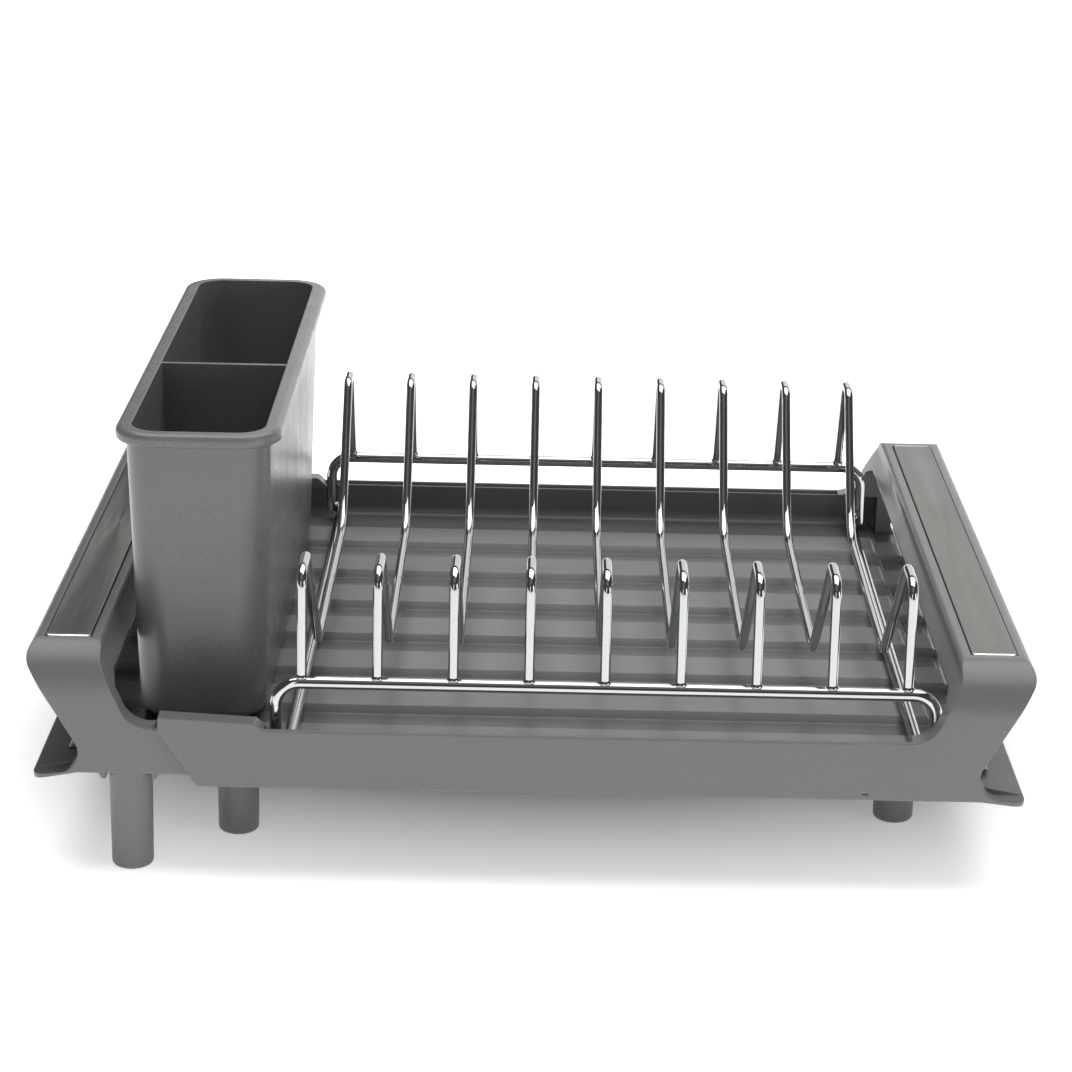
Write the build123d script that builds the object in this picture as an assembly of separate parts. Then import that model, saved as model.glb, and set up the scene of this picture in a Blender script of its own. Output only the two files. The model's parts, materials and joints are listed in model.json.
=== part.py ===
from build123d import *
import math
import os

# An expandable dish rack: two trays that slide one inside the other along X, a chrome wire
# plate rack, a two-compartment cutlery cup, two folding legs and four fixed feet.
# Frame: X along the rack, Y from the front to the back, Z up, origin on the ground in the middle.

# ---- trays ----
RIM_HALF = 158.7          # half depth of the outer tray at its rim
LEAN = 0.04               # how far the walls lean in per millimetre of height
OUTER_RIM_Z = 59.2
INNER_RIM_Z = 58.0
SKIRT_Z = 36.9            # lower edge of the outer tray's walls
INNER_SKIRT_Z = 40.4      # lower edge of the inner tray's walls
FLOOR_UNDER_Z = 39.4      # underside of the outer floor between its ridges
OUTER_SHEET = 1.9         # moulded thickness of the outer tray
RIM_ROUND = 0.8           # rounding of both edges of a tray's rim
INNER_SHEET = 1.7         # moulded thickness of the inner tray
SLIDE_GAP = 0.4           # clearance between the two trays
CORNER_R = 8.0            # radius between wall and floor, outer surface
CORNER_STEPS = 6          # flats that make up that radius
RIDGE_PITCH = 40.8
RIDGE_COUNT = 7
RIDGE_TOP = 16.0
RIDGE_SLOPE = 3.0
RIDGE_HEIGHT = 3.0
RIDGE_SHIFT = -5.6        # the middle ridge sits a little in front of the centre line
RIDGE_RUNOUT = 7.0        # length over which a ridge slopes down at its outer end

OUTER_CUT = ((-137.4, OUTER_RIM_Z), (-122.4, SKIRT_Z))   # slanted left end of the outer tray
INNER_CUT = ((143.0, INNER_RIM_Z), (158.0, 41.5))        # slanted right end of the inner tray
CUT_GAP = 0.6             # between the outer tray's slanted end and the inner tray's skirt
FLOOR_END = 166.0         # where the ridges of a tray end, short of the drain lip
NOTCH = (122.8, 125.4)    # small gate mark low on the outer tray's front wall
NOTCH_Z = (38.9, 39.6)
NOTCH_DEPTH = 0.4

# ---- hoods at the left end of the outer tray's rims ----
HOOD_END_X = -136.6
HOOD_TOP_Z = 63.3
HOOD_STEP_X = -101.0
HOOD_STEP_Z = 61.6
HOOD_FADE_X = -96.0
HOOD_LOW_Z = 57.0
HOOD_INNER_Y = 151.2
HOOD_ROOM_Y = (153.0, 156.9)   # slot in which the inner tray's wall runs

# ---- raised handles ----
HANDLE_TOP = 87.0
HANDLE_IN = 158.5         # inner face of the handle bar
HANDLE_OUT = 185.6        # outermost line of the handle
BAR_LOWER_Z = 74.7        # lower edge of the bar, top of the hand opening
BAR_WALL = 2.6
OPENING_TOP_HALF = 140.0
OPENING_WAIST_HALF = 149.7
OPENING_WAIST_Z = 71.0
OPENING_BASE_HALF = 151.0
OPENING_CORNER_R = 3.0
BAR_IN_Z = 82.0           # where the bar's inner and outer faces start to slope away
BAR_OUT_Z = 81.5
POCKET_TOP_Z = 83.0       # hollow under the bar
POCKET_LOW_Z = 70.0
POCKET_END = 4.0
POCKET_OUT_X = 176.0
HOOD_CLEAR_X = 138.4      # the inner tray's legs start beyond the outer tray's hoods
LEG_START_X = 140.8       # the outer tray's legs start to rise from its rim here
END_ROUND = 18.0          # round from the handle's top to the front and back faces
LEG_CORNER_X = 147.5      # where the rim would meet the sloping inner edge of a handle leg
LIP_TIP_X = 183.7
LIP_TIP_Z = 37.0
LIP_ROOT_X = 162.6        # where the floor starts to tip down between the legs
LIP_ROOT_Z = 41.0
LEG_LIP_X = 160.9         # where a leg's outer line would meet the lip
LEG_LIP_Z = 38.9
LIP_SHEET = 1.9
LIP_TIP_BACK = 0.6        # the lip's end face leans in by this much
LIP_CORNER_R = 5.0        # corners of the lip seen from above
LEG_CORNER_R = 11.0       # rim to handle leg
LEG_WAIST_R = 8.0         # handle leg to lip

# ---- steel inlays ----
PLATE_LENGTH = 276.0
PLATE_WIDTH = 17.0
PLATE_X = 171.8
PLATE_SHEET = 1.2
PLATE_PROUD = 0.4         # how far the strip stands above the handle
PLATE_END_R = 1.1         # rounding of its front and back ends
PLATE_CORNER_R = 0.6
PLATE_GAP = 0.3

# ---- wire rack ----
RAIL_R = 2.4
WIRE_R = 1.9
RACK_X = 28.1
RACK_HALF_X = 122.3
RAIL_Y = 146.5
RAIL_Z = 73.7
RAIL_CORNER_R = 9.0
RUNNER_INSET = 4.7
WIRE_COUNT = 9
WIRE_PITCH = 28.0
WIRE_CENTRE_X = 27.4
WELD_SINK = 0.15
WIRE_BENDS = (6.0, 5.5, 7.0, 28.0, 5.0, 5.0)   # bend radii from the front post to the back loop

# ---- cutlery cup ----
CUP_X = -125.7
CUP_Y = 3.8
CUP_TOP_Z = 161.0
CUP_TOP_X = 54.6
CUP_TOP_Y = 249.0
CUP_BASE_X = 48.0
CUP_BASE_Y = 241.0
CUP_CORNER_R = 13.0
CUP_SHEET = 2.2
CUP_RIM_OUT = 3.9
CUP_RIM_Z = 5.2
CUP_DIVIDER_SHIFT = -18.5
CUP_DIVIDER = 2.2
REST_GAP = 0.35

# ---- legs and feet ----
LEG_X = -148.4
LEG_Y = 146.5
LEG_R = 8.1
LEG_FOOT_R = 7.8
LEG_TOP_Z = 40.3
PIN_Z = 35.3
PIN_SHIFT = 3.5           # the hinge sits behind the leg's own axis
PIN_R = 1.5
PIN_LENGTH = 14.6
PIN_RUNNING = 0.05
LUG_HALF = 2.4
LUG_R = 3.2
LUG_CLEAR = 0.45
CHEEK_GAP = 0.5
CHEEK_SHEET = 2.9
CHEEK_LOWER_Z = 36.4
CHEEK_CHAMFER = 1.6
BRACKET_ROOT_Z = 43.2     # how far the cheeks and the lug reach up into the inner floor
FOOT_R = 8.1
FOOT_ROUND = 1.8
SOCKET_WALL = 2.0
SOCKET_Z = 33.0
SOCKET_SEAT_Z = 39.6
SOCKET_ROOT_Z = 41.0      # the collar runs this far up into the floor
FOOT_TOP_GAP = 0.1
FOOT_TAPER = 0.3
LEFT_FOOT = (-111.9, 112.5)
RIGHT_FOOT = (144.0, 88.0)


# ---- reach of the cutting tools ----
WIDE = 200.0
FAR = 300.0
CUT_REACH = 40.0


def save(shape, name):
    export_step(shape, f"parts/{name}.step")


def offset_path(points, distance):
    """The open polyline moved sideways by `distance` to its left, with mitred corners."""
    lines = []
    for (y0, z0), (y1, z1) in zip(points, points[1:]):
        length = math.hypot(y1 - y0, z1 - z0)
        ny, nz = -(z1 - z0) / length, (y1 - y0) / length
        lines.append((y0 + ny * distance, z0 + nz * distance, (y1 - y0) / length, (z1 - z0) / length))
    moved = [(lines[0][0], lines[0][1])]
    for (ay, az, ady, adz), (by, bz, bdy, bdz) in zip(lines, lines[1:]):
        cross = ady * bdz - adz * bdy
        if abs(cross) < 1e-9:
            moved.append((by, bz))
            continue
        along = ((by - ay) * bdz - (bz - az) * bdy) / cross
        moved.append((ay + ady * along, az + adz * along))
    (ly, lz, ldy, ldz), (py, pz), (qy, qz) = lines[-1], points[-2], points[-1]
    last = math.hypot(qy - py, qz - pz)
    moved.append((ly + ldy * last, lz + ldz * last))
    return moved


def ridge_centres():
    middle = (RIDGE_COUNT - 1) / 2
    return [RIDGE_SHIFT + RIDGE_PITCH * (i - middle) for i in range(RIDGE_COUNT)]


def floor_corner():
    """Points down the rounded corner between a wall and the floor, on the back side."""
    half = RIM_HALF + LEAN * (OUTER_RIM_Z - FLOOR_UNDER_Z - CORNER_R)
    points = []
    for step in range(CORNER_STEPS + 1):
        angle = math.radians(90 * step / CORNER_STEPS)
        y = half - CORNER_R + CORNER_R * math.cos(angle)
        z = FLOOR_UNDER_Z + CORNER_R - CORNER_R * math.sin(angle)
        points.append((y, z))
    return points


def tray_path(rim_z):
    """Outer surface of the outer tray across Y: down the front wall, over the ridges, up the back."""
    corner = floor_corner()
    rim_y = RIM_HALF + LEAN * (OUTER_RIM_Z - rim_z)
    top = RIDGE_TOP / 2
    base = top + RIDGE_SLOPE
    raised = FLOOR_UNDER_Z + RIDGE_HEIGHT
    path = [(-rim_y, rim_z)]
    path += [(-y, z) for y, z in corner]
    for c in ridge_centres():
        path += [(c - base, FLOOR_UNDER_Z), (c - top, raised), (c + top, raised), (c + base, FLOOR_UNDER_Z)]
    path += reversed(corner)
    path.append((rim_y, rim_z))
    return path


def yz_face(points):
    return make_face(Polyline(*[(0, y, z) for y, z in points], close=True).edges())


def extend_x(section, x0, x1):
    """A solid of constant YZ section between two X positions."""
    return Pos(x0, 0, 0) * extrude(section, amount=x1 - x0, dir=(1, 0, 0))


def along_y(sketch, y0, y1):
    """A solid made from an XZ outline, between two Y positions."""
    return Pos(0, y0, 0) * extrude(sketch, amount=y1 - y0, dir=(0, 1, 0))


def xz_face(points):
    return make_face(Polyline(*[(x, 0, z) for x, z in points], close=True).edges())


def block(x0, x1, y0, y1, z0, z1):
    return Pos((x0 + x1) / 2, (y0 + y1) / 2, (z0 + z1) / 2) * Box(x1 - x0, y1 - y0, z1 - z0)


def tray_sheet(inset, thickness, rim_z, x0, x1):
    """The bent sheet of one tray: walls and ridged floor, `inset` inside the outermost surface."""
    outside = offset_path(tray_path(rim_z), inset)
    inside = offset_path(tray_path(rim_z), inset + thickness)
    section = yz_face(outside + inside[::-1])
    rims = section.vertices().group_by(Axis.Z)[-1]
    return extend_x(fillet(rims, RIM_ROUND), x0, x1)


def skirts(inset, thickness, low_z, x0, x1):
    """Straight lower edges that carry both walls down past the rounded corner of the floor."""
    out = RIM_HALF + LEAN * (OUTER_RIM_Z - low_z) - inset
    top = RIM_HALF + LEAN * (OUTER_RIM_Z - 50.0) - inset
    points = [(-out, low_z), (-out + thickness, low_z), (-top + thickness, 50.0), (-top, 50.0)]
    front = extend_x(yz_face(points), x0, x1)
    return front + mirror(front, Plane.XZ)


def past_cut(cut, end_x, shift=0.0):
    """A wedge that removes everything from a slanted end line on to `end_x`, across the whole depth."""
    (x0, z0), (x1, z1) = cut
    slope = (x1 - x0) / (z1 - z0)
    high = (x0 + shift + slope * CUT_REACH, z0 + CUT_REACH)
    low = (x1 + shift - slope * CUT_REACH, z1 - CUT_REACH)
    return along_y(xz_face([high, low, (end_x, low[1]), (end_x, high[1])]), -WIDE, WIDE)


def side_outline(half_bottom, half_top, foot_z):
    """Front and back faces of a handle seen from the side, rounded over into its top."""
    points = [
        (-half_bottom, foot_z),
        (half_bottom, foot_z),
        (half_top, HANDLE_TOP),
        (-half_top, HANDLE_TOP),
    ]
    face = yz_face(points)
    corners = [v for v in face.vertices() if v.Z > HANDLE_TOP - 1]
    return fillet(corners, END_ROUND)


def hand_opening(shift):
    """The opening under the bar, wider at the floor than under the bar."""
    points = [
        (-OPENING_TOP_HALF + shift, BAR_LOWER_Z),
        (OPENING_TOP_HALF - shift, BAR_LOWER_Z),
        (OPENING_WAIST_HALF - shift, OPENING_WAIST_Z),
        (OPENING_BASE_HALF - shift, LIP_ROOT_Z),
        (-OPENING_BASE_HALF + shift, LIP_ROOT_Z),
        (-OPENING_WAIST_HALF + shift, OPENING_WAIST_Z),
    ]
    face = yz_face(points)
    corners = [v for v in face.vertices() if v.Z > BAR_LOWER_Z - 1]
    return fillet(corners, OPENING_CORNER_R)


def leg_outline(rim_z, lift, low_z):
    """Front view of a handle leg with its waist and drain lip; `lift` raises the lip."""
    tip_z = LIP_TIP_Z + lift
    inner_x = 120.0
    rounded = [
        ((LEG_CORNER_X, rim_z), LEG_CORNER_R),
        ((HANDLE_IN, BAR_IN_Z), 7.0),
        ((HANDLE_IN, HANDLE_TOP), 2.0),
        ((HANDLE_OUT, HANDLE_TOP), 3.5),
        ((HANDLE_OUT, BAR_OUT_Z), 7.0),
        ((LEG_LIP_X, LEG_LIP_Z + lift), LEG_WAIST_R),
    ]
    points = [(inner_x, low_z), (inner_x, rim_z)]
    points += [point for point, radius in rounded]
    points += [(LIP_TIP_X, tip_z), (LIP_TIP_X - LIP_TIP_BACK, tip_z - LIP_SHEET), (LEG_LIP_X + 6.0, low_z)]
    face = xz_face(points)
    for (x, z), radius in rounded:
        corner = face.vertices().sort_by_distance((x, 0, z))[0]
        face = fillet(corner, radius)
    return face


def lip_sheet(lift, half):
    """Sheet that carries the floor on under the handle and tips it down to the drain lip."""
    start_x = 150.0
    tip_z = LIP_TIP_Z + lift
    points = [
        (start_x, FLOOR_UNDER_Z + lift),
        (start_x, LIP_ROOT_Z + lift),
        (LIP_ROOT_X, LIP_ROOT_Z + lift),
        (LIP_TIP_X, tip_z),
        (LIP_TIP_X - LIP_TIP_BACK, tip_z - LIP_SHEET),
        (LIP_ROOT_X + 2.0, FLOOR_UNDER_Z + lift),
    ]
    return along_y(xz_face(points), -half, half)


def lip_corner(inset, lift):
    """What is cut away to round the front corner of the lip, seen from above."""
    tip_z = LIP_TIP_Z + lift
    end_y = RIM_HALF + LEAN * (OUTER_RIM_Z - tip_z) - inset
    centre_x = LIP_TIP_X - LIP_CORNER_R
    centre_y = LIP_CORNER_R - end_y
    low, high = tip_z - 2 * LIP_SHEET, tip_z + 2 * LIP_SHEET
    square = block(centre_x, LIP_TIP_X + 1, -end_y - 1, centre_y, low, high)
    return square - Pos(centre_x, centre_y, tip_z) * Cylinder(LIP_CORNER_R, 6 * LIP_SHEET)


def ridge_ends(lift):
    """Sloping ends where the ridges run out towards the lip."""
    root = FLOOR_UNDER_Z + lift + OUTER_SHEET
    points = [
        (FLOOR_END - 1, root - 1),
        (FLOOR_END - 1, root + RIDGE_HEIGHT),
        (FLOOR_END, root + RIDGE_HEIGHT),
        (FLOOR_END + RIDGE_RUNOUT, root - 1),
    ]
    half = (RIDGE_TOP + RIDGE_SLOPE) / 2
    return [along_y(xz_face(points), c - half, c + half) for c in ridge_centres()]


def bar_pocket(inset):
    """The hollow under a handle's bar."""
    outer_x = HANDLE_OUT - BAR_WALL - 0.6
    points = [
        (HANDLE_IN + BAR_WALL - 1.4, POCKET_LOW_Z),
        (HANDLE_IN + BAR_WALL, POCKET_TOP_Z),
        (outer_x, POCKET_TOP_Z),
        (outer_x, POCKET_TOP_Z - 2.0),
        (POCKET_OUT_X, POCKET_LOW_Z),
    ]
    half = OPENING_TOP_HALF - inset - POCKET_END
    return along_y(xz_face(points), -half, half)


def plate_seat():
    """The shallow recess in a handle's top that takes the steel strip."""
    half_y = PLATE_LENGTH / 2 + PLATE_GAP
    half_x = PLATE_WIDTH / 2 + PLATE_GAP
    floor_z = HANDLE_TOP + PLATE_PROUD - PLATE_SHEET
    return block(PLATE_X - half_x, PLATE_X + half_x, -half_y, half_y, floor_z, HANDLE_TOP + 1)


def handle(inset, rim_z, lift, low_z):
    """Raised handle with its two legs and their part of the lip, at the +X end."""
    low = LIP_TIP_Z - LIP_SHEET + lift - 1
    half_bottom = RIM_HALF + LEAN * (OUTER_RIM_Z - low) - inset
    half_top = RIM_HALF + LEAN * (OUTER_RIM_Z - HANDLE_TOP) - inset
    side = extrude(side_outline(half_bottom, half_top, low), amount=FAR, dir=(1, 0, 0))
    legs = along_y(leg_outline(rim_z, lift, low_z), -WIDE, WIDE) & side
    opening = extrude(hand_opening(inset), amount=FAR, dir=(1, 0, 0))
    return legs - opening - bar_pocket(inset) - plate_seat()


def hood():
    """Raised cap on the outer rim that hooks over the inner tray's rim at the left end."""
    points = [
        (HOOD_END_X, HOOD_LOW_Z),
        (HOOD_END_X, HOOD_TOP_Z),
        (HOOD_STEP_X, HOOD_STEP_Z),
        (HOOD_FADE_X, HOOD_LOW_Z),
    ]
    cap = along_y(xz_face(points), -RIM_HALF, -HOOD_INNER_Y)
    near, far = HOOD_ROOM_Y
    room = block(-WIDE, HOOD_FADE_X + 6.0, -far, -near, 40, INNER_RIM_Z + 0.5)
    return cap - room


def upright(x, y, radius, low, high):
    """An upright cylinder between two heights."""
    return Pos(x, y, (low + high) / 2) * Cylinder(radius, high - low)


def foot_socket(x, y):
    """Short collar under the floor that holds a fixed foot."""
    ring = upright(x, y, FOOT_R + SOCKET_WALL, SOCKET_Z, SOCKET_ROOT_Z)
    return ring - upright(x, y, FOOT_R, SOCKET_Z - 1, SOCKET_SEAT_Z)


def feet_places():
    return {
        "foot_front_left": (LEFT_FOOT[0], -LEFT_FOOT[1]),
        "foot_back_left": (LEFT_FOOT[0], LEFT_FOOT[1]),
        "foot_front_right": (RIGHT_FOOT[0], -RIGHT_FOOT[1]),
        "foot_back_right": (RIGHT_FOOT[0], RIGHT_FOOT[1]),
    }


def outer_tray():
    """Tray with the right handle; its left end is cut on a slant and carries the two hoods."""
    left_x = -139.0
    tray = tray_sheet(0.0, OUTER_SHEET, OUTER_RIM_Z, left_x, FLOOR_END)
    tray += skirts(0.0, OUTER_SHEET, SKIRT_Z, left_x, FLOOR_END - 1)
    tray += lip_sheet(0.0, OPENING_BASE_HALF + 1)
    for wedge in ridge_ends(0.0):
        tray += wedge
    passage = block(100, HANDLE_IN + 0.5, -WIDE, WIDE, 30, INNER_RIM_Z + 0.6)
    inside = RIM_HALF - OUTER_SHEET
    beside_rim = block(100, LEG_START_X, -inside, inside, 30, HANDLE_TOP)
    tray += handle(0.0, OUTER_RIM_Z, 0.0, SKIRT_Z) - passage - beside_rim
    tray -= past_cut(OUTER_CUT, -FAR)
    for x, y in feet_places().values():
        tray += foot_socket(x, y)
    tray -= block(*NOTCH, -WIDE, NOTCH_DEPTH - RIM_HALF - LEAN * (OUTER_RIM_Z - NOTCH_Z[0]), *NOTCH_Z)
    return with_both_ends(tray, hood(), lip_corner(0.0, 0.0))


def with_both_ends(tray, added, removed):
    """The tray with one piece added and one removed at its front, and the same at its back."""
    tray = tray + added + mirror(added, Plane.XZ)
    return tray - removed - mirror(removed, Plane.XZ)


def cheek(side):
    """One cheek beside the front leg, under the inner tray."""
    near = LEG_R + CHEEK_GAP
    far = near + CHEEK_SHEET
    shape = [
        (near, CHEEK_LOWER_Z),
        (far - CHEEK_CHAMFER, CHEEK_LOWER_Z),
        (far, CHEEK_LOWER_Z + 1.5 * CHEEK_CHAMFER),
        (far, BRACKET_ROOT_Z),
        (near, BRACKET_ROOT_Z),
    ]
    points = [(LEG_X + side * x, z) for x, z in shape]
    return along_y(xz_face(points), -LEG_Y - 6.5, -LEG_Y + 8.5)


def pivot_lug():
    """The lug that the front leg turns on, with its bore."""
    y = PIN_SHIFT - LEG_Y
    neck = block(LEG_X - LUG_HALF, LEG_X + LUG_HALF, y - LUG_R, y + LUG_R, PIN_Z, BRACKET_ROOT_Z)
    eye = Pos(LEG_X, y, PIN_Z) * Rot(0, 90, 0) * Cylinder(LUG_R, 2 * LUG_HALF)
    hole = Pos(LEG_X, y, PIN_Z) * Rot(0, 90, 0) * Cylinder(PIN_R + PIN_RUNNING, 2 * LUG_HALF + 2)
    return neck + eye - hole


def inner_tray():
    """Tray with the left handle; it slides out of the outer tray towards -X."""
    inset = OUTER_SHEET + SLIDE_GAP
    lift = inset
    tray = tray_sheet(inset, INNER_SHEET, INNER_RIM_Z, -FLOOR_END, 160.0)
    tray -= past_cut(INNER_CUT, FAR)
    low = skirts(inset, INNER_SHEET, INNER_SKIRT_Z, -FLOOR_END + 1, 0.0)
    tray += low - past_cut(OUTER_CUT, FAR, -CUT_GAP)
    legs = handle(inset, INNER_RIM_Z, lift, INNER_SKIRT_Z) - block(100, HOOD_CLEAR_X, -WIDE, WIDE, 30, 100)
    left_end = legs + lip_sheet(lift, OPENING_BASE_HALF + 1 - inset)
    for wedge in ridge_ends(lift - 0.2):
        left_end += wedge
    corner = lip_corner(inset, lift)
    left_end = left_end - corner - mirror(corner, Plane.XZ)
    tray += mirror(left_end, Plane.YZ)
    for piece in (cheek(-1), cheek(1), pivot_lug()):
        tray = tray + piece + mirror(piece, Plane.XZ)
    return tray


def handle_plate(side):
    """Brushed steel strip set into the top of a handle."""
    strip = Box(PLATE_WIDTH, PLATE_LENGTH, PLATE_SHEET)
    ends = strip.edges().filter_by(Axis.X).group_by(Axis.Z)[-1]
    strip = fillet(ends, PLATE_END_R)
    corners = strip.edges().filter_by(Axis.Z)
    strip = fillet(corners, PLATE_CORNER_R)
    return Pos(side * PLATE_X, 0, HANDLE_TOP + PLATE_PROUD - PLATE_SHEET / 2) * strip


def rounded_wire(points, radii):
    """A path of straight runs joined by arcs; radii belong to the inner points in order."""
    edges = []
    at = Vector(*points[0])
    for before, corner, after, radius in zip(points, points[1:], points[2:], radii):
        c = Vector(*corner)
        u = (Vector(*before) - c).normalized()
        v = (Vector(*after) - c).normalized()
        half = math.acos(max(-1.0, min(1.0, u.dot(v)))) / 2
        reach = radius / math.tan(half)
        start, end = c + u * reach, c + v * reach
        middle = c + (u + v).normalized() * (radius / math.sin(half) - radius)
        edges.append(Edge.make_line(at, start))
        edges.append(Edge.make_three_point_arc(start, middle, end))
        at = end
    edges.append(Edge.make_line(at, Vector(*points[-1])))
    return Wire(edges)


def bent_rod(points, radii, rod_r):
    path = rounded_wire(points, radii)
    direction = Vector(*points[1]) - Vector(*points[0])
    section = Plane(origin=points[0], z_dir=direction) * Circle(rod_r)
    return sweep(section, path=path, transition=Transition.RIGHT)


def runner_z():
    ridge_z = FLOOR_UNDER_Z + OUTER_SHEET + SLIDE_GAP + INNER_SHEET + RIDGE_HEIGHT
    return ridge_z + REST_GAP + RAIL_R


def rail(side):
    """Front (-1) or back (+1) rail of the rack, bent down at both ends into its legs."""
    y = side * RAIL_Y
    x0, x1 = RACK_X - RACK_HALF_X, RACK_X + RACK_HALF_X
    foot = runner_z() - RAIL_R
    points = [(x0, y, foot), (x0, y, RAIL_Z), (x1, y, RAIL_Z), (x1, y, foot)]
    return bent_rod(points, [RAIL_CORNER_R, RAIL_CORNER_R], RAIL_R)


def runner(side):
    """Side rod along Y, welded to the inner sides of the rack's legs."""
    x = RACK_X + side * (RACK_HALF_X - RUNNER_INSET)
    rod = Pos(x, 0, runner_z()) * Rot(90, 0, 0) * Cylinder(RAIL_R, 2 * RAIL_Y + 4)
    return chamfer(rod.edges().filter_by(GeomType.CIRCLE), 0.5)


def plate_wire(x):
    """One bent wire: post and loop at the front, shallow V, then the tall loop at the back."""
    weld = RAIL_Z + RAIL_R - WELD_SINK
    points = [
        (x, -RAIL_Y, weld),
        (x, -143.8, 115.8),
        (x, -124.5, 115.8),
        (x, -66.5, 62.0),
        (x, 75.0, 62.8),
        (x, 114.5, 118.2),
        (x, 128.8, 118.2),
        (x, RAIL_Y, weld),
    ]
    return bent_rod(points, WIRE_BENDS, WIRE_R)


def cup_body(grow, base_z, top_z):
    """Tapered block with rounded upright corners; `grow` moves every side outwards."""
    full = CUP_TOP_Z - cup_base_z()
    sections = []
    for z in (base_z, top_z):
        share = (z - cup_base_z()) / full
        size_x = CUP_BASE_X + (CUP_TOP_X - CUP_BASE_X) * share + 2 * grow
        size_y = CUP_BASE_Y + (CUP_TOP_Y - CUP_BASE_Y) * share + 2 * grow
        sections.append(Plane((CUP_X, CUP_Y, z)) * RectangleRounded(size_x, size_y, CUP_CORNER_R + grow))
    return loft(sections)


def cup_base_z():
    return runner_z() - RAIL_R


def cutlery_cup():
    """Open-topped cup with a rolled rim and one cross wall."""
    base = cup_base_z()
    outside = cup_body(0.0, base, CUP_TOP_Z)
    outside = fillet(outside.faces().sort_by(Axis.Z)[0].edges(), 3.0)
    rim = cup_body(CUP_RIM_OUT, CUP_TOP_Z - CUP_RIM_Z, CUP_TOP_Z)
    rim = fillet(rim.faces().sort_by(Axis.Z)[-1].edges(), 2.3)
    rim = fillet(rim.faces().sort_by(Axis.Z)[0].edges(), 1.4)
    hollow = cup_body(-CUP_SHEET, base + 2.4, CUP_TOP_Z + 5)
    shell = outside + rim - hollow
    wall = Pos(CUP_X, CUP_Y + CUP_DIVIDER_SHIFT, (base + 1 + CUP_TOP_Z - 1.2) / 2) * Box(
        CUP_TOP_X - 1.5, CUP_DIVIDER, CUP_TOP_Z - 1.2 - base - 1)
    wall = wall & cup_body(-CUP_SHEET / 2, base, CUP_TOP_Z)
    return shell + wall


def folding_leg():
    """Front folding leg: tapered round post, forked at the top around the pivot lug."""
    pin_y = -LEG_Y + PIN_SHIFT
    post = Pos(LEG_X, -LEG_Y, LEG_TOP_Z / 2) * Cone(LEG_FOOT_R, LEG_R, LEG_TOP_Z)
    post = fillet(post.edges().group_by(Axis.Z)[0], FOOT_ROUND)
    knuckle = Pos(LEG_X, pin_y, PIN_Z) * Rot(0, 90, 0) * Cylinder(LEG_R - PIN_SHIFT, 2 * LEG_R + 2)
    behind = block(LEG_X - 10, LEG_X + 10, pin_y, pin_y + 10, PIN_Z, LEG_TOP_Z + 2)
    post = post - (behind - knuckle)
    slot_front = pin_y - LUG_R - LUG_CLEAR
    slot = block(LEG_X - LUG_HALF - LUG_CLEAR, LEG_X + LUG_HALF + LUG_CLEAR, slot_front, pin_y + 12,
                 PIN_Z - LUG_R - LUG_CLEAR, LEG_TOP_Z + 2)
    bore = Pos(LEG_X, pin_y, PIN_Z) * Rot(0, 90, 0) * Cylinder(PIN_R, PIN_LENGTH)
    return post - slot - bore


def leg_pin():
    pin = Cylinder(PIN_R, PIN_LENGTH - 0.2)
    pin = chamfer(pin.edges().filter_by(GeomType.CIRCLE), 0.3)
    return Pos(LEG_X, -LEG_Y + PIN_SHIFT, PIN_Z) * Rot(0, 90, 0) * pin


def foot(x, y):
    """Fixed foot plugged into its socket under the outer tray."""
    lower = Pos(0, 0, SOCKET_Z / 2) * Cone(FOOT_R - FOOT_TAPER, FOOT_R, SOCKET_Z)
    post = lower + upright(0, 0, FOOT_R, SOCKET_Z, FLOOR_UNDER_Z - FOOT_TOP_GAP)
    post = fillet(post.edges().group_by(Axis.Z)[0], FOOT_ROUND)
    return Pos(x, y, 0) * post


def main():
    os.makedirs("parts", exist_ok=True)
    save(outer_tray(), "outer_tray")
    save(inner_tray(), "inner_tray")
    save(handle_plate(1), "outer_handle_plate")
    save(handle_plate(-1), "inner_handle_plate")
    save(cutlery_cup(), "cutlery_cup")
    save(rail(-1), "rack_front_rail")
    save(rail(1), "rack_back_rail")
    save(runner(-1), "rack_left_runner")
    save(runner(1), "rack_right_runner")
    for i in range(WIRE_COUNT):
        x = WIRE_CENTRE_X + WIRE_PITCH * (i - (WIRE_COUNT - 1) / 2)
        save(plate_wire(x), f"plate_wire_{i + 1}")
    front_leg = folding_leg()
    save(front_leg, "front_folding_leg")
    save(mirror(front_leg, Plane.XZ), "back_folding_leg")
    save(leg_pin(), "front_leg_pin")
    save(mirror(leg_pin(), Plane.XZ), "back_leg_pin")
    for name, (x, y) in feet_places().items():
        save(foot(x, y), name)


main()
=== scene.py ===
"""Looks, light and camera for the dish drying rack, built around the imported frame.

Every length is in metres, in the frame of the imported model: X runs along the
rack from the cutlery cup to the wide handle, Y from the front wall to the back
wall, and Z up from the surface that the rack stands on.
"""
import json
import math

import bmesh
import bpy
from mathutils import Matrix, Vector


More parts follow.
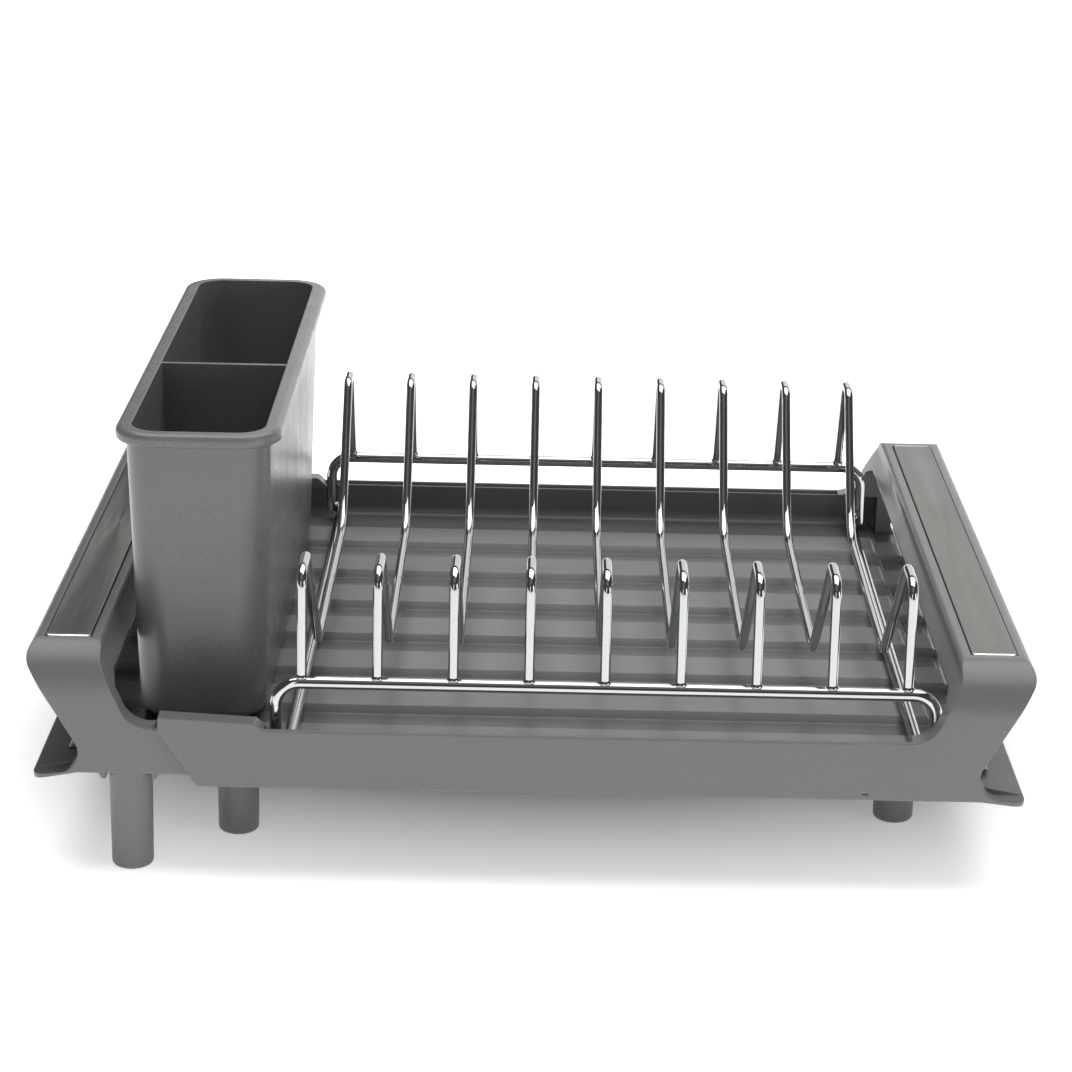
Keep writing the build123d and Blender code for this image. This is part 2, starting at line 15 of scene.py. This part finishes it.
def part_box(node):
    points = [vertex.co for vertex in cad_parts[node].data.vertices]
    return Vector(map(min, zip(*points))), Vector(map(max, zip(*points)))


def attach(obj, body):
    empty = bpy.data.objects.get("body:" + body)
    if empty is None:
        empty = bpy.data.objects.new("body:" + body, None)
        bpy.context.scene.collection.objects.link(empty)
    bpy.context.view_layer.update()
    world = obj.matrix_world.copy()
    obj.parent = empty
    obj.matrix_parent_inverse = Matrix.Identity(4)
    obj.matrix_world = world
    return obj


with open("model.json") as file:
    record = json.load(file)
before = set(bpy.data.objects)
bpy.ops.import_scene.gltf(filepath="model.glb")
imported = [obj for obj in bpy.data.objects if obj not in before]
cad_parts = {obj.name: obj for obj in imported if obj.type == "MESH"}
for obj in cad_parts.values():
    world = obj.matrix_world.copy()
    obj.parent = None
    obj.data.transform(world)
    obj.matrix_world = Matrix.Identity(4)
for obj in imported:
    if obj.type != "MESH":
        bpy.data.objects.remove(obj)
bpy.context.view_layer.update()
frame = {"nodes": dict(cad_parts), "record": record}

MM = 0.001

# ---------------------------------------------------------------- camera
CAMERA_AT = Vector((0.00081, -1.1826, 0.4691))
CAMERA_DOWN = math.radians(18.0)
CAMERA_ROLL = math.radians(1.2)
LENS = 100.7
SENSOR = 36.0

# ---------------------------------------------------------------- colours
TRAY_GREY = (0.152, 0.153, 0.152)
CUP_GREY = (0.150, 0.150, 0.149)
LEG_GREY = (0.170, 0.170, 0.170)
CHROME = (0.48, 0.49, 0.495)
INLAY_STEEL = (0.215, 0.211, 0.200)
PIN_STEEL = (0.55, 0.55, 0.55)
EDGE_STEEL_HIGHLIGHT = (0.82, 0.82, 0.81)

# How far sharp edges are eased, how deep the grain is and how much edges are lightened: worn edges,
# and a painted highlight along them.
EDGE_EASE = 0.9 * MM
CUP_EASE = 0.6 * MM
TRAY_GRAIN = 0.05 * MM
CUP_GRAIN = 0.02 * MM
TRAY_EDGE_WEAR_AND_HIGHLIGHT = 0.32
CUP_WEAR = 0.15
LEG_WEAR = 0.10
CHANNEL_SHADE_DEPTH = 0.42
# Heights between which the channels of each ridged floor go from full painted shade to none.
OUTER_CHANNEL_Z = (0.0416, 0.0443)
INNER_CHANNEL_Z = (0.0437, 0.0464)

# ---------------------------------------------------------------- studio
FLOOR_WHITE = (0.93, 0.93, 0.93)
FLOOR_SIZE = 9.0
FLOOR_DROP = 0.0001
# The sheet glows faintly under the rack and brightly round it, over these distances from its middle.
FLOOR_GLOW = 0.10
FAR_GLOW = 0.80
GLOW_STRETCH = (0.45, 1.0, 1.0)
GLOW_STARTS = 0.07
GLOW_FULL = 0.20
ROOM_LEVEL = 0.08
BACKDROP_LEVEL = 1.0
CENTRE = (0.0, 0.0, 0.06)


# ---------------------------------------------------------------- node helpers
def start_material(name):
    """A new node material and its Principled shader."""
    material = bpy.data.materials.new(name)
    material.use_nodes = True
    return material, material.node_tree.nodes["Principled BSDF"]


def add_node(tree, kind, **settings):
    """A node of that kind, with its properties set."""
    node = tree.nodes.new(kind)
    for key, value in settings.items():
        setattr(node, key, value)
    return node


def place_in_object(tree, stretch=(1, 1, 1)):
    """Coordinates that stay on the piece, stretched along the axes."""
    coords = add_node(tree, "ShaderNodeTexCoord")
    mapping = add_node(tree, "ShaderNodeMapping")
    mapping.inputs["Scale"].default_value = stretch
    tree.links.new(coords.outputs["Object"], mapping.inputs["Vector"])
    return mapping.outputs["Vector"]


def noise(tree, per_metre, detail=2.0, stretch=(1, 1, 1), rough=0.5):
    """A noise field with that many cells to the metre."""
    node = add_node(tree, "ShaderNodeTexNoise")
    node.inputs["Scale"].default_value = per_metre
    node.inputs["Detail"].default_value = detail
    node.inputs["Roughness"].default_value = rough
    tree.links.new(place_in_object(tree, stretch), node.inputs["Vector"])
    return node.outputs["Fac"]


def remap(tree, value, low_in, high_in, low_out, high_out):
    """value taken from one range to another, and kept inside it."""
    node = add_node(tree, "ShaderNodeMapRange")
    for socket, number in zip(
        ("From Min", "From Max", "To Min", "To Max"), (low_in, high_in, low_out, high_out)
    ):
        node.inputs[socket].default_value = number
    tree.links.new(value, node.inputs["Value"])
    return node.outputs["Result"]


def arithmetic(tree, operation, first, second):
    """A Math node on two sockets, or on a socket and a number."""
    node = add_node(tree, "ShaderNodeMath", operation=operation)
    for socket, value in zip(node.inputs, (first, second)):
        if isinstance(value, (int, float)):
            socket.default_value = value
        else:
            tree.links.new(value, socket)
    return node.outputs["Value"]


def shade(tree, colour, factor):
    """colour made lighter or darker by a factor that varies over the surface."""
    node = add_node(tree, "ShaderNodeVectorMath", operation="SCALE")
    node.inputs[0].default_value = colour
    tree.links.new(factor, node.inputs["Scale"])
    return node.outputs["Vector"]


def bump(tree, height, distance, strength=1.0, normal=None):
    """A normal raised and lowered by a height field."""
    node = add_node(tree, "ShaderNodeBump")
    node.inputs["Distance"].default_value = distance
    node.inputs["Strength"].default_value = strength
    tree.links.new(height, node.inputs["Height"])
    if normal is not None:
        tree.links.new(normal, node.inputs["Normal"])
    return node.outputs["Normal"]


def rounded_edges(tree, radius):
    """The normal of the surface with its sharp edges eased, and how near an edge is."""
    eased = add_node(tree, "ShaderNodeBevel", samples=6)
    eased.inputs["Radius"].default_value = radius
    plain = add_node(tree, "ShaderNodeNewGeometry")
    dot = add_node(tree, "ShaderNodeVectorMath", operation="DOT_PRODUCT")
    tree.links.new(eased.outputs["Normal"], dot.inputs[0])
    tree.links.new(plain.outputs["Normal"], dot.inputs[1])
    nearness = remap(tree, dot.outputs["Value"], 1.0, 0.85, 0.0, 1.0)
    return eased.outputs["Normal"], nearness


# ---------------------------------------------------------------- materials
def channel_painted_shade(tree, low, high):
    """Painted shade in a ridged floor's channels, as a tone factor: 1 on the ridges, less in the
    channels.
    """
    coords = add_node(tree, "ShaderNodeTexCoord")
    place = add_node(tree, "ShaderNodeSeparateXYZ")
    tree.links.new(coords.outputs["Object"], place.inputs["Vector"])
    facing = add_node(tree, "ShaderNodeNewGeometry")
    way = add_node(tree, "ShaderNodeSeparateXYZ")
    tree.links.new(facing.outputs["Normal"], way.inputs["Vector"])
    depth = remap(tree, place.outputs["Z"], low, high, CHANNEL_SHADE_DEPTH, 0.0)
    upward = remap(tree, way.outputs["Z"], 0.2, 0.6, 0.0, 1.0)
    mottled = remap(tree, noise(tree, 45, 3, (0.3, 1, 1)), 0.3, 0.7, 0.85, 1.1)
    shade_amount = arithmetic(tree, "MULTIPLY", arithmetic(tree, "MULTIPLY", depth, upward), mottled)
    return arithmetic(tree, "SUBTRACT", 1.0, shade_amount)


def moulded_plastic(name, colour, roughness, grain, edge_radius, edge_wear_and_highlight, channels=None):
    """Moulded plastic: fine grain, slow flow marks, faint scuffs, edges lightened as burnished wear
    and painted highlight, and painted shade in the channels when asked for.
    """
    material, shader = start_material(name)
    tree = material.node_tree
    slow = noise(tree, 14, 3)
    flow = noise(tree, 60, 2, (0.25, 1, 1))
    speckle = noise(tree, 1500, 2)
    scuff = noise(tree, 260, 4, (0.12, 1.0, 0.5), 0.6)
    normal, edge = rounded_edges(tree, edge_radius)

    tone = remap(tree, slow, 0.3, 0.7, 0.965, 1.03)
    tone = arithmetic(tree, "MULTIPLY", tone, remap(tree, speckle, 0.3, 0.7, 0.95, 1.05))
    tone = arithmetic(tree, "ADD", tone, remap(tree, scuff, 0.66, 0.74, 0.0, 0.045))
    # Edges are lightened: wear, and a painted highlight along them.
    tone = arithmetic(tree, "ADD", tone, arithmetic(tree, "MULTIPLY", edge, edge_wear_and_highlight))
    if channels:
        # Painted shade darkens the channels between the ridges.
        tone = arithmetic(tree, "MULTIPLY", tone, channel_painted_shade(tree, *channels))
    tree.links.new(shade(tree, colour, tone), shader.inputs["Base Color"])

    gloss = remap(tree, speckle, 0.25, 0.75, roughness - 0.05, roughness + 0.06)
    gloss = arithmetic(tree, "ADD", gloss, remap(tree, flow, 0.3, 0.7, -0.03, 0.03))
    gloss = arithmetic(tree, "SUBTRACT", gloss, arithmetic(tree, "MULTIPLY", edge, 0.08))
    tree.links.new(gloss, shader.inputs["Roughness"])

    waves = bump(tree, flow, 0.25 * MM, 0.25, normal)
    tree.links.new(bump(tree, speckle, grain, 0.5, waves), shader.inputs["Normal"])
    shader.inputs["IOR"].default_value = 1.47
    return material


def polished_chrome(name):
    """Chrome plate over drawn wire: almost a mirror, faintly wavy, with dull flecks."""
    material, shader = start_material(name)
    tree = material.node_tree
    wave = noise(tree, 90, 2)
    fleck = noise(tree, 1400, 3)
    haze = remap(tree, fleck, 0.55, 0.8, 0.05, 0.17)
    haze = arithmetic(tree, "ADD", haze, remap(tree, wave, 0.35, 0.7, 0.0, 0.03))
    tree.links.new(haze, shader.inputs["Roughness"])
    tone = remap(tree, fleck, 0.3, 0.8, 1.0, 0.93)
    tree.links.new(shade(tree, CHROME, tone), shader.inputs["Base Color"])
    tree.links.new(bump(tree, wave, 0.3 * MM, 0.15), shader.inputs["Normal"])
    shader.inputs["Metallic"].default_value = 1.0
    return material


def brushed_steel(name, colour, roughness, edge_radius):
    """Sheet steel brushed along Y, with a satin sheen, a few longer scratches and a painted
    highlight along its edges.
    """
    material, shader = start_material(name)
    tree = material.node_tree
    hair = noise(tree, 3200, 3, (1, 0.012, 1))
    scratch = noise(tree, 900, 2, (1, 0.03, 1))
    cloud = noise(tree, 25, 2)
    normal, edge = rounded_edges(tree, edge_radius)
    tone = remap(tree, hair, 0.3, 0.7, 0.86, 1.10)
    tone = arithmetic(tree, "ADD", tone, remap(tree, scratch, 0.68, 0.76, 0.0, 0.15))
    # Edges are lightened by half: a painted highlight along them.
    tone = arithmetic(tree, "ADD", tone, arithmetic(tree, "MULTIPLY", edge, 0.5))
    tree.links.new(shade(tree, colour, tone), shader.inputs["Base Color"])
    gloss = remap(tree, hair, 0.25, 0.75, roughness - 0.06, roughness + 0.08)
    gloss = arithmetic(tree, "ADD", gloss, remap(tree, cloud, 0.3, 0.7, -0.03, 0.03))
    tree.links.new(gloss, shader.inputs["Roughness"])
    tree.links.new(bump(tree, hair, 0.02 * MM, 0.4, normal), shader.inputs["Normal"])
    shader.inputs["Metallic"].default_value = 1.0
    shader.inputs["Anisotropic"].default_value = 0.5
    return material


def glowing_floor_paper(name):
    """Matte white studio paper with a barely visible tooth, which glows as painted light: faintly
    under the rack, brightly round it.
    """
    material, shader = start_material(name)
    tree = material.node_tree
    tooth = noise(tree, 500, 2)
    tone = remap(tree, tooth, 0.3, 0.7, 0.995, 1.0)
    tree.links.new(shade(tree, FLOOR_WHITE, tone), shader.inputs["Base Color"])
    shader.inputs["Roughness"].default_value = 0.9
    # The glow is painted light: it lifts the shadow under the rack and whitens the floor round it.
    shader.inputs["Emission Color"].default_value = (1.0, 1.0, 1.0, 1.0)
    reach = add_node(tree, "ShaderNodeVectorMath", operation="LENGTH")
    tree.links.new(place_in_object(tree, GLOW_STRETCH), reach.inputs[0])
    glow = remap(tree, reach.outputs["Value"], GLOW_STARTS, GLOW_FULL, FLOOR_GLOW, FAR_GLOW)
    tree.links.new(glow, shader.inputs["Emission Strength"])
    shader.inputs["Specular IOR Level"].default_value = 0.1
    return material


MATERIALS = {
    "outer_tray_plastic": moulded_plastic(
        "outer_tray_look", TRAY_GREY, 0.34, TRAY_GRAIN, EDGE_EASE, TRAY_EDGE_WEAR_AND_HIGHLIGHT, OUTER_CHANNEL_Z
    ),
    "inner_tray_plastic": moulded_plastic(
        "inner_tray_look", TRAY_GREY, 0.35, TRAY_GRAIN, EDGE_EASE, TRAY_EDGE_WEAR_AND_HIGHLIGHT, INNER_CHANNEL_Z
    ),
    "cup_plastic": moulded_plastic("cup_look", CUP_GREY, 0.29, CUP_GRAIN, CUP_EASE, CUP_WEAR),
    "leg_plastic": moulded_plastic("leg_look", LEG_GREY, 0.50, TRAY_GRAIN, CUP_EASE, LEG_WEAR),
    "rack_chrome": polished_chrome("chrome_look"),
    "outer_inlay_steel": brushed_steel("outer_inlay_look", INLAY_STEEL, 0.36, 0.5 * MM),
    "inner_inlay_steel": brushed_steel("inner_inlay_look", INLAY_STEEL, 0.36, 0.5 * MM),
    "pin_steel": brushed_steel("pin_look", PIN_STEEL, 0.30, 0.2 * MM),
}


def dress(thing, slot_name):
    """Gives a piece its slot's material."""
    thing.data.materials.clear()
    thing.data.materials.append(MATERIALS[slot_name])


def slot_of(node_name):
    """The record's material slot of a CAD node."""
    for row in frame["record"]["subparts"]:
        if row["node"] == node_name:
            return row["material_slot"]
    return None


for node_name, node in frame["nodes"].items():
    dress(node, slot_of(node_name))

# ---------------------------------------------------------------- added pieces
RAIL_R = 2.4 * MM
WIRE_R = 1.9 * MM
# How far the plate wires lean, in Y for each step up, where they stand on the rails.
FRONT_LEAN = 0.07
BACK_LEAN = -0.42
COLLAR_SINK = 0.9 * MM
# A collar's (height, radius) steps, its radius in wire radii.
COLLAR_STEPS = (
    (0.0, 0.9),
    (0.25 * MM, 1.22),
    (0.75 * MM, 1.26),
    (1.2 * MM, 1.15),
    (1.7 * MM, 1.05),
    (2.1 * MM, 0.92),
)
BEAD_INSET = 1.6 * MM
BEAD_SIDES = 14
BEAD_REACH = 0.98
BEAD_LEAN = (0, 0.25, 1)
# A bead's (place, radius) steps from one tip to the other.
BEAD_STEPS = (
    (-2.6 * MM, 0.25 * MM),
    (-2.0 * MM, 0.85 * MM),
    (0.0, 1.15 * MM),
    (2.0 * MM, 0.85 * MM),
    (2.6 * MM, 0.25 * MM),
)
ROLL_R = 0.75 * MM
ROLL_INSET = 0.35 * MM
ROLL_SINK = 0.01 * MM
ROLL_END_GAP = 0.5 * MM
RUNNERS = ("rack_left_runner", "rack_right_runner")
WIRES = [f"plate_wire_{i}" for i in range(1, 10)]


def centre(node_name):
    """Middle of a CAD node's box."""
    low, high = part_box(node_name)
    return (Vector(low) + Vector(high)) / 2


def finish_piece(name, shape, body, slot_name):
    """Turns a bmesh into a smooth-shaded piece that rides on a body."""
    mesh = bpy.data.meshes.new(name)
    bmesh.ops.recalc_face_normals(shape, faces=shape.faces)
    shape.to_mesh(mesh)
    shape.free()
    for face in mesh.polygons:
        face.use_smooth = True
    piece = bpy.data.objects.new(name, mesh)
    bpy.context.scene.collection.objects.link(piece)
    dress(piece, slot_name)
    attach(piece, body)
    return piece


def turned(shape, at, axis, profile, sides=20):
    """Adds a closed body of revolution to shape; profile lists (distance along axis, radius)."""
    axis = Vector(axis).normalized()
    side = axis.orthogonal().normalized()
    other = axis.cross(side)
    rings = []
    for along, radius in profile:
        ring = []
        for i in range(sides):
            angle = 2 * math.pi * i / sides
            spoke = side * math.cos(angle) + other * math.sin(angle)
            ring.append(shape.verts.new(Vector(at) + axis * along + spoke * radius))
        rings.append(ring)
    for low, high in zip(rings, rings[1:]):
        for i in range(sides):
            shape.faces.new((low[i - 1], low[i], high[i], high[i - 1]))
    shape.faces.new(rings[0][::-1])
    shape.faces.new(rings[-1])


def weld_collars(side, lean):
    """Small flared fillets of weld metal where the plate wires stand on a rail."""
    rail_low, rail_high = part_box(f"rack_{side}_rail")
    rail_y = (rail_low[1] + rail_high[1]) / 2
    profile = [(along, WIRE_R * widening) for along, widening in COLLAR_STEPS]
    shape = bmesh.new()
    for wire in WIRES:
        at = (centre(wire).x, rail_y, rail_high[2] - COLLAR_SINK)
        turned(shape, at, (0, lean, 1), profile)
    finish_piece(f"{side}_weld_collars", shape, "rack", "rack_chrome")


def runner_beads():
    """Weld beads that join the side runners to the rail ends."""
    shape = bmesh.new()
    for runner in RUNNERS:
        low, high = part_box(runner)
        z = (low[2] + high[2]) / 2
        toward = -1 if centre(runner).x < centre("rack_front_rail").x else 1
        for y in (low[1] + BEAD_INSET, high[1] - BEAD_INSET):
            at = (centre(runner).x + toward * RAIL_R * BEAD_REACH, y, z)
            turned(shape, at, BEAD_LEAN, BEAD_STEPS, BEAD_SIDES)
    finish_piece("runner_weld_beads", shape, "rack", "rack_chrome")


def inlay_rims(body):
    """The turned-down ends of a steel strip, polished where they roll over, in a much lighter steel
    as a painted highlight.
    """
    plate = f"{body}_handle_plate"
    low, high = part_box(plate)
    half = (high[0] - low[0]) / 2 - ROLL_END_GAP
    near_end = [
        (-half, 0.2 * MM),
        (-half + 0.3 * MM, ROLL_R * 0.85),
        (-half + 0.8 * MM, ROLL_R),
    ]
    far_end = [(-along, radius) for along, radius in reversed(near_end)]
    shape = bmesh.new()
    for y in (low[1] + ROLL_INSET, high[1] - ROLL_INSET):
        at = ((low[0] + high[0]) / 2, y, high[2] - ROLL_R - ROLL_SINK)
        turned(shape, at, (1, 0, 0), near_end + far_end)
    piece = finish_piece(f"{body}_inlay_rims", shape, body, f"{body}_inlay_steel")
    piece.data.materials.clear()
    piece.data.materials.append(EDGE_HIGHLIGHT_LOOK)


# A much lighter copy of the inlay steel: a painted highlight on the rolled ends.
EDGE_HIGHLIGHT_LOOK = brushed_steel("inlay_edge_highlight_look", EDGE_STEEL_HIGHLIGHT, 0.22, 0.2 * MM)
weld_collars("front", FRONT_LEAN)
weld_collars("back", BACK_LEAN)
runner_beads()
inlay_rims("outer")
inlay_rims("inner")

# ---------------------------------------------------------------- floor and light
def floor_sheet():
    """A wide flat sheet under the object."""
    mesh = bpy.data.meshes.new("studio_floor")
    shape = bmesh.new()
    bmesh.ops.create_grid(shape, x_segments=8, y_segments=8, size=FLOOR_SIZE)
    shape.to_mesh(mesh)
    shape.free()
    mesh.materials.append(glowing_floor_paper("floor_look"))
    sheet = bpy.data.objects.new("studio_floor", mesh)
    bpy.context.scene.collection.objects.link(sheet)
    sheet.location.z = -FLOOR_DROP


def soft_box(name, at, aim, width, height, watts, mirrored=True, lights_matte=True):
    """A rectangular light that faces a point; it may be kept off shiny or off matte surfaces."""
    lamp = bpy.data.lights.new(name, "AREA")
    lamp.shape = "RECTANGLE"
    lamp.size = width
    lamp.size_y = height
    lamp.energy = watts
    holder = bpy.data.objects.new(name, lamp)
    holder.location = at
    holder.visible_glossy = mirrored
    holder.visible_diffuse = lights_matte
    holder.visible_camera = False
    holder.rotation_euler = (Vector(aim) - Vector(at)).to_track_quat("-Z", "Y").to_euler()
    bpy.context.scene.collection.objects.link(holder)


def studio_dark():
    """A dim room, seen as dark lines in the wire, with a plain white backdrop behind the set."""
    world = bpy.data.worlds.new("studio")
    bpy.context.scene.world = world
    world.use_nodes = True
    back = world.node_tree.nodes["Background"]
    back.inputs["Color"].default_value = (1.0, 1.0, 1.0, 1.0)
    path = add_node(world.node_tree, "ShaderNodeLightPath")
    seen = path.outputs["Is Camera Ray"]
    level = remap(world.node_tree, seen, 0.0, 1.0, ROOM_LEVEL, BACKDROP_LEVEL)
    world.node_tree.links.new(level, back.inputs["Strength"])


floor_sheet()
studio_dark()
soft_box("key_box", (0.1, 0.35, 1.8), CENTRE, 2.4, 2.2, 51)
soft_box("far_box", (0.2, 2.8, 2.0), (0.0, 2.6, 0.0), 3.0, 1.6, 12, mirrored=False)
soft_box("top_front_box", (-0.1, -1.3, 1.6), CENTRE, 1.6, 1.2, 1.0)
soft_box("back_panel", (1.40, 3.4, 1.1), (0.0, 0.0, 0.9), 4.2, 2.0, 27, lights_matte=False)
soft_box("front_box", (0.5, -2.6, 0.25), CENTRE, 3.0, 0.45, 2.5, mirrored=False)
soft_box("strip_box", (-0.7, -2.4, 0.6), CENTRE, 0.35, 1.1, 3)
soft_box("right_box", (1.9, -1.3, 0.45), CENTRE, 0.8, 0.7, 5)


# ---------------------------------------------------------------- camera
def aim_camera():
    """The camera in front of the rack, looking slightly down, with a small roll."""
    camera = bpy.data.cameras.new("camera")
    camera.lens = LENS
    camera.sensor_width = SENSOR
    camera.clip_end = 50.0
    right_flat = Vector((1, 0, 0))
    up_flat = Vector((0, math.sin(CAMERA_DOWN), math.cos(CAMERA_DOWN)))
    right = math.cos(CAMERA_ROLL) * right_flat + math.sin(CAMERA_ROLL) * up_flat
    up = -math.sin(CAMERA_ROLL) * right_flat + math.cos(CAMERA_ROLL) * up_flat
    back = Vector((0, -math.cos(CAMERA_DOWN), math.sin(CAMERA_DOWN)))
    turn = Matrix((right, up, back)).transposed()
    holder = bpy.data.objects.new("camera", camera)
    holder.matrix_world = Matrix.Translation(CAMERA_AT) @ turn.to_4x4()
    bpy.context.scene.collection.objects.link(holder)
    bpy.context.scene.camera = holder


aim_camera()
bpy.context.scene.view_settings.view_transform = "Standard"
